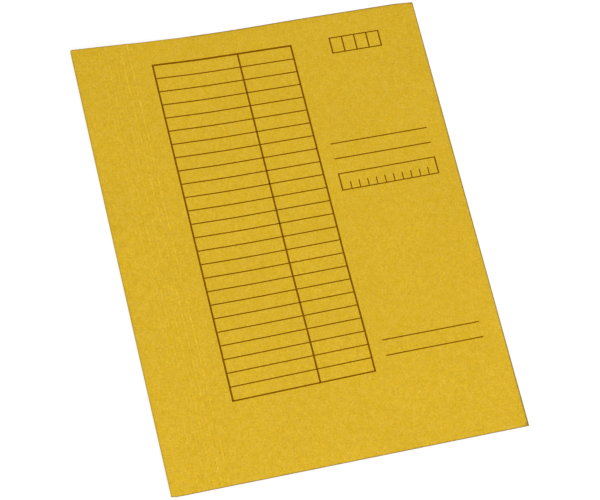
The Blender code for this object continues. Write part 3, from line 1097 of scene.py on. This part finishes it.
@dataclass
class CoverBoards:
    """The cover: back, spine, front margin, the strips between the scores, the front, and what joins them."""

    sizes: FolderSizes
    finishes: Finishes
    back_columns: int = 40
    margin_columns: int = 8
    strip_columns: int = 3
    front_columns: int = 120
    inner_rim: float = 0.02 * MM
    open_rim: float = 0.12 * MM
    spine_bulge: float = 0.2 * MM
    spine_steps: int = 16
    ridge_width: float = 4.0 * MM
    ridge_offset: float = 0.35 * MM
    ridge_rises: tuple[float, ...] = (0.04 * MM, 0.05 * MM, 0.06 * MM, 0.08 * MM, 0.08 * MM)
    # How strongly each score's crown is lightened, partly as rubbed board and partly as painted highlight,
    # and its flanks darkened as painted shade.
    ridge_rub_and_light: tuple[float, ...] = (0.05, 0.075, 0.08, 0.11, 0.115)
    ridge_bite: float = 0.02 * MM
    ridge_root: float = 0.8

    def panel(self, name: str, node: str, body: str, span: Flat, columns: int,
              height: Callable[[float, float], float], right_rim: float) -> Piece:
        """Makes a stretch of board that stands for a CAD node.

        Args:
            name: The piece's name.
            node: The CAD node that it stands for.
            body: The body that it rides on.
            span: Its left and right edges.
            columns: Steps across it.
            height: Height of its middle layer.
            right_rim: Rounding of its right edge.

        Returns:
            The piece.
        """
        sizes = self.sizes
        board = BoardPanel(name, *span, sizes.half_height, sizes.board, height, columns, right_rim)
        piece = board.build(self.finishes.board)
        sizes.lay(piece.data)
        return stand_in(piece, node, body)

    def sweep_cover(self, name: str, section: list[Flat]) -> Piece:
        """Sweeps a closed section in the XZ plane along the whole cover.

        Args:
            name: The piece's name.
            section: The section's outline, in order.

        Returns:
            The piece.
        """
        half = self.sizes.half_height
        rows = [-half + 2.0 * half * row / COVER_ROWS for row in range(COVER_ROWS + 1)]
        piece = sweep(name, [[(x, y, z) for x, z in section] for y in rows], self.finishes.board)
        self.sizes.lay(piece.data)
        return piece

    def build(self) -> Piece:
        """Makes the whole cover.

        Returns:
            The printed front, which the form is laid on.
        """
        sizes = self.sizes
        left = sizes.fold_x + sizes.fold_inset
        gap = sizes.score_gap / 2
        level = sizes.front_height
        self.panel("back_board", "back_cover", "back", (left, sizes.back_edge), self.back_columns,
                   sizes.back_height, self.open_rim)
        self.panel("margin_board", "front_margin", "margin", (left, sizes.scores[0] - gap),
                   self.margin_columns, level, self.inner_rim)
        for number, (low, high) in enumerate(zip(sizes.scores, sizes.scores[1:]), 1):
            self.panel(f"strip_board_{number}", f"score_strip_{number}", f"strip_{number}",
                       (low + gap, high - gap), self.strip_columns, level, self.inner_rim)
        front = self.panel("front_board", "front_cover", "front", (sizes.scores[-1] + gap, sizes.front_edge),
                           self.front_columns, level, self.open_rim)
        self.add_spine()
        self.add_folds()
        self.add_ridges()
        return front

    def add_spine(self) -> None:
        """Makes the spine, pressed a little outwards."""
        sizes = self.sizes
        low = sizes.back_mid + sizes.fold_inset
        high = sizes.front_mid - sizes.fold_inset
        outer = []
        inner = []
        for step in range(self.spine_steps + 1):
            share = step / self.spine_steps
            height = low + (high - low) * share
            out = self.spine_bulge * math.sin(math.pi * share)
            outer.append((sizes.fold_x - sizes.board / 2 - out, height))
            inner.append((sizes.fold_x + sizes.board / 2 - out, height))
        stand_in(self.sweep_cover("spine_board", outer + inner[::-1]), "spine", "spine")

    def add_folds(self) -> None:
        """Makes the two creases that join the spine to the back and to the front margin."""
        sizes = self.sizes
        inset = sizes.fold_inset
        outer = inset + sizes.board / 2
        inner = inset - sizes.board / 2
        x = sizes.fold_x
        right = x + inset
        low = sizes.back_mid + inset
        high = sizes.front_mid - inset
        section = arc((right, low), outer, 270, 180) + arc((right, low), inner, 180, 270)
        lower = self.sweep_cover("fold_lower", section)
        bend(lower, ("back", "spine"))
        section = arc((right, high), outer, 180, 90) + arc((right, high), inner, 90, 180)
        upper = self.sweep_cover("fold_upper", section)
        bend(upper, ("spine", "margin"))

    def add_ridges(self) -> None:
        """Makes the raised line of each score, between the boards on both sides."""
        sizes = self.sizes
        tree = ScoreTree().build()
        top = sizes.front_mid + sizes.board / 2
        bodies = ("margin", "strip_1", "strip_2", "strip_3", "strip_4", "front")
        for index, x in enumerate(sizes.scores):
            values = {
                "Place": (x, 0.0, top),
                "Offset": self.ridge_offset,
                "Length": 2.0 * sizes.half_height,
                "Width": self.ridge_width,
                "Gap": sizes.score_gap,
                "Root": sizes.board * self.ridge_root,
                "Rise": self.ridge_rises[index],
                "Tone": self.ridge_rub_and_light[index],
                "Bite": self.ridge_bite,
                "Seed": index,
                "Finish": self.finishes.ridge,
            }
            ridge = grow(f"score_ridge_{index + 1}", tree, [values], SHARP_ANGLE)
            sizes.lay(ridge.data)
            bend(ridge, bodies[index:index + 2])


@dataclass
class PrintedForm:
    """The printed form: places and sizes on the page, from the cover's top left corner."""

    sizes: FolderSizes
    board: Piece
    ink: Material
    film: float = 0.04 * MM
    piece_length: float = 4.0 * MM
    thin: float = 0.8 * MM
    upright: float = 1.0 * MM
    bold: float = 1.25 * MM
    slant: float = -0.0028
    table_left: float = 52.2 * MM
    table_top: float = 18.65 * MM
    table_width: float = 96.1 * MM
    table_divider: float = 58.8 * MM
    table_rows: int = 25
    table_pitch: float = 9.31 * MM
    header_extra: float = 0.22 * MM
    table_shear: float = -0.00256
    table_fan: float = -0.104
    table_crowd: float = -0.046
    cells_left: float = 175.72 * MM
    cells_top: float = 17.0 * MM
    cells_pitch: float = 8.65 * MM
    cells_height: float = 11.0 * MM
    cells_count: int = 4
    lines_left: float = 158.37 * MM
    lines_length: float = 68.05 * MM
    lines_top: float = 91.4 * MM
    lines_pitch: float = 10.76 * MM
    scale_left: float = 158.68 * MM
    scale_width: float = 67.42 * MM
    scale_top: float = 112.9 * MM
    scale_height: float = 11.6 * MM
    tick_first: float = 6.6 * MM
    tick_pitch: float = 6.035 * MM
    tick_count: int = 10
    tick_length: float = 5.4 * MM
    foot_left: float = 158.65 * MM
    foot_length: float = 67.42 * MM
    foot_top: float = 230.5 * MM
    foot_pitch: float = 10.54 * MM

    def rule(self, across: float, down: float, length: float, width: float,
             run: RuleRun = RuleRun.ACROSS, count: int = 1, step: float = 0.0) -> Values:
        """Values for one set of equal rules, side by side.

        Args:
            across: Where the first one starts, across the page.
            down: Where it starts, down the page.
            length: Its length.
            width: Its width.
            run: Which way it runs.
            count: How many there are.
            step: From one to the next.

        Returns:
            The inputs of the rule tree.
        """
        x, y = self.sizes.page(across, down)
        beside = -step * self.slant
        return {
            "Start": (x, y, 0.0),
            "Length": length,
            "Width": width,
            "Film": self.film,
            "Count": count,
            "Step": (beside, -step, 0.0) if run is RuleRun.ACROSS else (step, beside, 0.0),
            "Turn": math.radians(run.value) - self.slant,
            "Pieces": max(2, round(length / self.piece_length)),
            "Board": self.board,
            "Finish": self.ink,
        }

    def box(self, across: float, down: float, width: float, height: float, top: float, foot: float,
            upright: float) -> list[Values]:
        """Values for the four sides of a box.

        Args:
            across: Its left side on the page.
            down: Its top side on the page.
            width: Its width.
            height: Its height.
            top: Width of its top line.
            foot: Width of its foot line.
            upright: Width of its upright lines.

        Returns:
            The inputs of each run of the rule tree.
        """
        return [
            self.rule(across - upright / 2, down, width + upright, top),
            self.rule(across - upright / 2 - height * self.slant, down + height, width + upright, foot),
            self.rule(across, down, height, upright, RuleRun.DOWN, 2, width),
        ]

    def table(self) -> list[Values]:
        """Values for the table: its frame, its rows and the line between its columns.

        Returns:
            The inputs of each run of the rule tree.
        """
        left, first, pitch, width = self.table_left, self.table_top, self.table_pitch, self.table_width
        height = self.table_rows * pitch + self.header_extra
        top = first - self.header_extra
        rules = self.box(left, top, width, height, self.bold, self.upright, self.bold)
        rules.append(self.rule(left, first + pitch, width, self.thin, count=self.table_rows - 1, step=pitch))
        rules.append(self.rule(left + self.table_divider, top, height, self.bold, RuleRun.DOWN))
        middle = (*self.sizes.page(left + width / 2, first + height / 2), 0.0)
        drift = {"Shear": self.table_shear, "Fan": self.table_fan, "Crowd": self.table_crowd}
        return [{**values, **drift, "Middle": middle} for values in rules]

    def cells(self) -> list[Values]:
        """Values for the small box of equal cells.

        Returns:
            The inputs of each run of the rule tree.
        """
        left, top, pitch, height = self.cells_left, self.cells_top, self.cells_pitch, self.cells_height
        count = self.cells_count
        rules = self.box(left, top, pitch * count, height, self.thin, self.thin, self.upright)
        return rules + [self.rule(left + pitch, top, height, self.upright, RuleRun.DOWN, count - 1, pitch)]

    def writing_lines(self) -> list[Values]:
        """Values for the two pairs of lines to write on.

        Returns:
            The inputs of each run of the rule tree.
        """
        places = ((self.lines_left, self.lines_top, self.lines_length, self.lines_pitch),
                  (self.foot_left, self.foot_top, self.foot_length, self.foot_pitch))
        return [self.rule(left, top, length, self.thin, count=2, step=pitch)
                for left, top, length, pitch in places]

    def scale(self) -> list[Values]:
        """Values for the box with short ticks along its foot.

        Returns:
            The inputs of each run of the rule tree.
        """
        left, top, height = self.scale_left, self.scale_top, self.scale_height
        rules = self.box(left, top, self.scale_width, height, self.thin, self.thin, self.upright)
        return rules + [self.rule(left + self.tick_first, top + height - self.tick_length, self.tick_length,
                                  self.thin, RuleRun.DOWN, self.tick_count, self.tick_pitch)]

    def build(self) -> None:
        """Prints every part of the form on the front cover."""
        tree = RuleTree().build()
        for name, rules in (("form_table", self.table()), ("form_cells", self.cells()),
                            ("form_lines", self.writing_lines()), ("form_scale", self.scale())):
            piece = grow(name, tree, rules)
            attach(piece, "front")
            LOG.info("%s lies on front_board", name)


@dataclass
class Fastener:
    """The tin fastener and its card strip: rounded copies of the CAD solids, and the prongs' bent roots."""

    finishes: Finishes
    soft_edge: float = 0.06 * MM
    card_edge: float = 0.08 * MM
    merge: float = 0.001 * MM
    tin: float = 0.3 * MM
    flat_angle: float = 1.0
    sharp_angle: float = 40.0

    def dress(self, name: str, node: str, body: str, material: Material, edge: float) -> None:
        """Copies a CAD node, joins its loose triangles, and rounds its edges.

        Args:
            name: The piece's name.
            node: The CAD node.
            body: The body that it rides on.
            material: Its finish.
            edge: Width of the rounding.
        """
        builder = bmesh.new()
        builder.from_mesh(bpy.data.objects[node].data)
        bmesh.ops.remove_doubles(builder, verts=builder.verts, dist=self.merge)
        bmesh.ops.dissolve_limit(builder, angle_limit=math.radians(self.flat_angle), verts=builder.verts,
                                 edges=builder.edges)
        piece = keep_mesh(name, builder, [material], self.sharp_angle)
        bevel = piece.modifiers.new("soft_edges", "BEVEL")
        bevel.width = edge
        bevel.segments = 2
        bevel.limit_method = "ANGLE"
        bevel.angle_limit = math.radians(self.sharp_angle)
        bevel.harden_normals = True
        stand_in(piece, node, body)

    def add_root(self, side: Side, frame: dict) -> None:
        """Makes the bend between a prong's upright root and the prong.

        Args:
            side: The upper or the lower prong.
        """
        prong = f"prong_{side.name.lower()}"
        sign = side.value
        joint = next(item for item in frame["joints"] if item["name"] == f"{prong}_bend")
        _, axis_y, axis_z = joint["pos_m"]
        low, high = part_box(prong)
        reach = abs((low.y if sign > 0 else high.y) - axis_y)
        centre = (axis_y + sign * reach, axis_z - reach)
        turn = (180, 90) if sign > 0 else (0, 90)
        outline = arc(centre, reach + self.tin / 2, *turn)
        outline += arc(centre, reach - self.tin / 2, *reversed(turn))
        rings = [[(x, y, z) for y, z in outline] for x in (low.x, high.x)]
        root = sweep(f"{prong}_root", rings, self.finishes.tin)
        bend(root, ("back", prong))

    def build(self, frame: dict) -> None:
        """Makes every part of the fastener.
        """
        looks = self.finishes
        edge = self.soft_edge
        self.dress("card_strip", "binding_strip", "back", looks.card, self.card_edge)
        self.dress("prong_strip", "prong_base", "back", looks.tin, edge)
        self.dress("clamp_bar", "compressor_bar", "bar", looks.bar_tin, edge)
        for side in Side:
            word = side.name.lower()
            prong = f"prong_{word}"
            slider = f"slider_{word}"
            self.dress(f"{word}_prong", prong, prong, looks.tin, edge)
            self.dress(f"{word}_lock", slider, slider, looks.lock_tin, edge)
            self.add_root(side, frame)


@dataclass(frozen=True)
class SoftBox:
    """A square studio lamp with a soft face, aimed at the folder."""

    name: str
    place: Point
    width: float
    power: float

    def build(self) -> None:
        """Hangs the lamp."""
        light = bpy.data.lights.new(self.name, "AREA")
        light.shape = "SQUARE"
        light.size = self.width
        light.energy = self.power
        holder = new_object(self.name, light)
        holder.location = self.place
        holder.rotation_euler = (-Vector(self.place)).to_track_quat("-Z", "Y").to_euler()


@dataclass
class Studio:
    """Floor, world, lamps and camera."""

    lamps: tuple[SoftBox, ...] = (
        SoftBox("key_lamp", (-0.1, -0.9, 1.1), 1.6, 13.5),
        SoftBox("fill_lamp", (0.7, 0.8, 1.5), 2.0, 6.3),
    )
    white: Colour = (1.0, 1.0, 1.0, 1.0)
    floor_size: float = 12.0
    floor_grey: Colour = (0.8, 0.8, 0.8, 1.0)
    floor_rough: float = 0.9
    floor_white: float = 0.82
    floor_shade: Colour = (0.22, 0.22, 0.22, 1.0)
    world_level: float = 0.55
    camera_place: Point = (-0.37268, -0.41898, 1.48811)
    camera_turn: Point = (17.9056, -10.0949, -13.6691)
    camera_focus: float = 2417.06
    frame_width: float = 600.0
    sensor_width: float = 36.0

    def build(self) -> None:
        """Makes the whole studio."""
        self.add_floor()
        self.add_world()
        for lamp in self.lamps:
            lamp.build()
        self.add_camera()
        bpy.context.scene.view_settings.view_transform = "Standard"

    def seen_by(self, sketch: NodeSketch) -> Socket:
        """Finds what the camera sees, directly, mirrored or through glass.

        Args:
            sketch: The tree that asks.

        Returns:
            The socket of a share that is 1 there.
        """
        path = sketch.add("ShaderNodeLightPath").outputs
        share = sketch.calc("MAXIMUM", path["Is Camera Ray"], path["Is Glossy Ray"])
        return sketch.calc("MAXIMUM", share, path["Is Transmission Ray"])

    def add_floor(self) -> None:
        """Makes a plain pale floor that shows white and keeps the folder's shadow."""
        half = self.floor_size / 2
        mesh = bpy.data.meshes.new("floor")
        outline = [(-half, -half, 0.0), (half, -half, 0.0), (half, half, 0.0), (-half, half, 0.0)]
        mesh.from_pydata(outline, [], [(0, 1, 2, 3)])
        floor = new_object("floor", mesh)
        material, sketch, shader = new_material("pale_floor")
        sketch.feed(shader, {"Base Color": self.floor_grey, "Roughness": self.floor_rough})
        glow = sketch.out("ShaderNodeEmission", {"Color": self.white, "Strength": self.floor_white})
        shade = sketch.out("ShaderNodeBsdfDiffuse", {"Color": self.floor_shade})
        shown = sketch.out("ShaderNodeAddShader", {0: glow, 1: shade})
        mixed = sketch.out("ShaderNodeMixShader", {0: self.seen_by(sketch), 1: shader.outputs[0], 2: shown})
        sketch.feed(material.node_tree.nodes["Material Output"], {"Surface": mixed})
        mesh.materials.append(material)

    def add_world(self) -> None:
        """Sets an even pale surround that shows white."""
        world = bpy.data.worlds.new("studio")
        world.use_nodes = True
        sketch = NodeSketch(world.node_tree)
        level = sketch.remap(self.seen_by(sketch), 0.0, 1.0, self.world_level, 1.0)
        sketch.feed(world.node_tree.nodes["Background"], {"Color": self.white, "Strength": level})
        bpy.context.scene.world = world

    def add_camera(self) -> None:
        """Sets the camera at the photograph's angle."""
        lens = bpy.data.cameras.new("camera")
        lens.sensor_width = self.sensor_width
        lens.lens = self.camera_focus / self.frame_width * self.sensor_width
        camera = new_object("camera", lens)
        camera.location = self.camera_place
        camera.rotation_euler = Euler([math.radians(angle) for angle in self.camera_turn], "XYZ")
        bpy.context.scene.camera = camera


def main() -> None:
    """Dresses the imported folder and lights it."""
    logging.basicConfig(level=logging.INFO, format="%(name)s: %(message)s")
    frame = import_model()
    sizes = FolderSizes.from_frame(frame)
    finishes = Finishes()
    front = CoverBoards(sizes, finishes).build()
    PrintedForm(sizes, front, finishes.ink).build()
    Fastener(finishes).build(frame)
    Studio().build()


if __name__ == "__main__":
    main()
